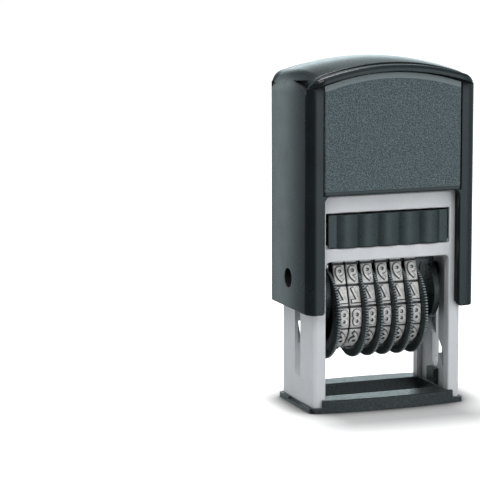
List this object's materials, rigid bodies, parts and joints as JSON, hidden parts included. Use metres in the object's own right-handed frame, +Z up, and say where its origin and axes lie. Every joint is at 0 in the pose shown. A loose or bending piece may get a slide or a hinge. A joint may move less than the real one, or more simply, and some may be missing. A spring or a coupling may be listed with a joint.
{
  "type": "numbering machine",
  "caption": "Self-inking numbering stamp: a sprung cap flips a carrier of digit bands with toothed setting wheels from its ink pad down to the paper.",
  "frame": {"origin": "middle of the base ring's underside, on the paper", "axes": "+Z up, -Y the front with the label and the wheels, +X to the right seen from the front"},
  "size_m": [0.0364, 0.0242, 0.071],
  "materials": {
    "cap_plastic": "satin-gloss charcoal moulding",
    "panel_plastic": "fine grained charcoal",
    "frame_plastic": "satin light grey",
    "black_plastic": "satin black",
    "tray_plastic": "satin-gloss dark grey",
    "wheel_plastic": "matt black, toothed",
    "band_rubber": "light grey moulded rubber",
    "pad_felt": "ink soaked felt",
    "spring_steel": "drawn wire",
    "axle_steel": "ground rod"
  },
  "bodies": {
    "frame": {"frame": "frame_plastic", "base_foot": "black_plastic", "return_spring": "spring_steel"},
    "cap": {"cap_shell": "cap_plastic", "front_label_panel": "panel_plastic", "back_label_panel": "panel_plastic", "axle_pins": "black_plastic"},
    "cartridge": {"cartridge_tray": "tray_plastic", "ink_pad": "pad_felt"},
    "carrier": {"left_cheek": "black_plastic", "right_cheek": "black_plastic", "print_anvil": "black_plastic", "wheel_axle": "axle_steel", "axle_spacer": "black_plastic", "number_band_1": "band_rubber", "number_band_2": "band_rubber", "number_band_3": "band_rubber", "number_band_4": "band_rubber", "number_band_5": "band_rubber", "number_band_6": "band_rubber"},
    "wheel_1": {"setting_wheel_1": "wheel_plastic"},
    "wheel_2": {"setting_wheel_2": "wheel_plastic"},
    "wheel_3": {"setting_wheel_3": "wheel_plastic"},
    "wheel_4": {"setting_wheel_4": "wheel_plastic"},
    "wheel_5": {"setting_wheel_5": "wheel_plastic"},
    "wheel_6": {"setting_wheel_6": "wheel_plastic"}
  },
  "joints": [
    {"name": "cap_press", "type": "slide", "parent": "frame", "child": "cap", "axis": [0, 0, -1], "range_m": [0, 0.01915], "stiffness_N_per_m": 260, "springref_m": -0.025, "deforming": ["return_spring"]},
    {"name": "carrier_flip", "type": "hinge", "parent": "cap", "child": "carrier", "pos_m": [0, 0, 0.0265], "axis": [-1, 0, 0], "range_deg": [0, 180]},
    {"name": "cartridge_slide", "type": "slide", "parent": "frame", "child": "cartridge", "axis": [0, 1, 0], "range_m": [-0.018, 0]},
    {"name": "wheel_spin_1", "type": "hinge", "parent": "carrier", "child": "wheel_1", "pos_m": [-0.0092, 0, 0.019], "axis": [1, 0, 0], "continuous": true},
    {"name": "wheel_spin_2", "type": "hinge", "parent": "carrier", "child": "wheel_2", "pos_m": [-0.0064, 0, 0.019], "axis": [1, 0, 0], "continuous": true},
    {"name": "wheel_spin_3", "type": "hinge", "parent": "carrier", "child": "wheel_3", "pos_m": [-0.00313, 0, 0.019], "axis": [1, 0, 0], "continuous": true},
    {"name": "wheel_spin_4", "type": "hinge", "parent": "carrier", "child": "wheel_4", "pos_m": [0.00014, 0, 0.019], "axis": [1, 0, 0], "continuous": true},
    {"name": "wheel_spin_5", "type": "hinge", "parent": "carrier", "child": "wheel_5", "pos_m": [0.00341, 0, 0.019], "axis": [1, 0, 0], "continuous": true},
    {"name": "wheel_spin_6", "type": "hinge", "parent": "carrier", "child": "wheel_6", "pos_m": [0.00668, 0, 0.019], "axis": [1, 0, 0], "continuous": true}
  ],
  "couplings": [
    {"joint": "carrier_flip", "follows": "cap_press", "rad_per_m": 164.05}
  ]
}
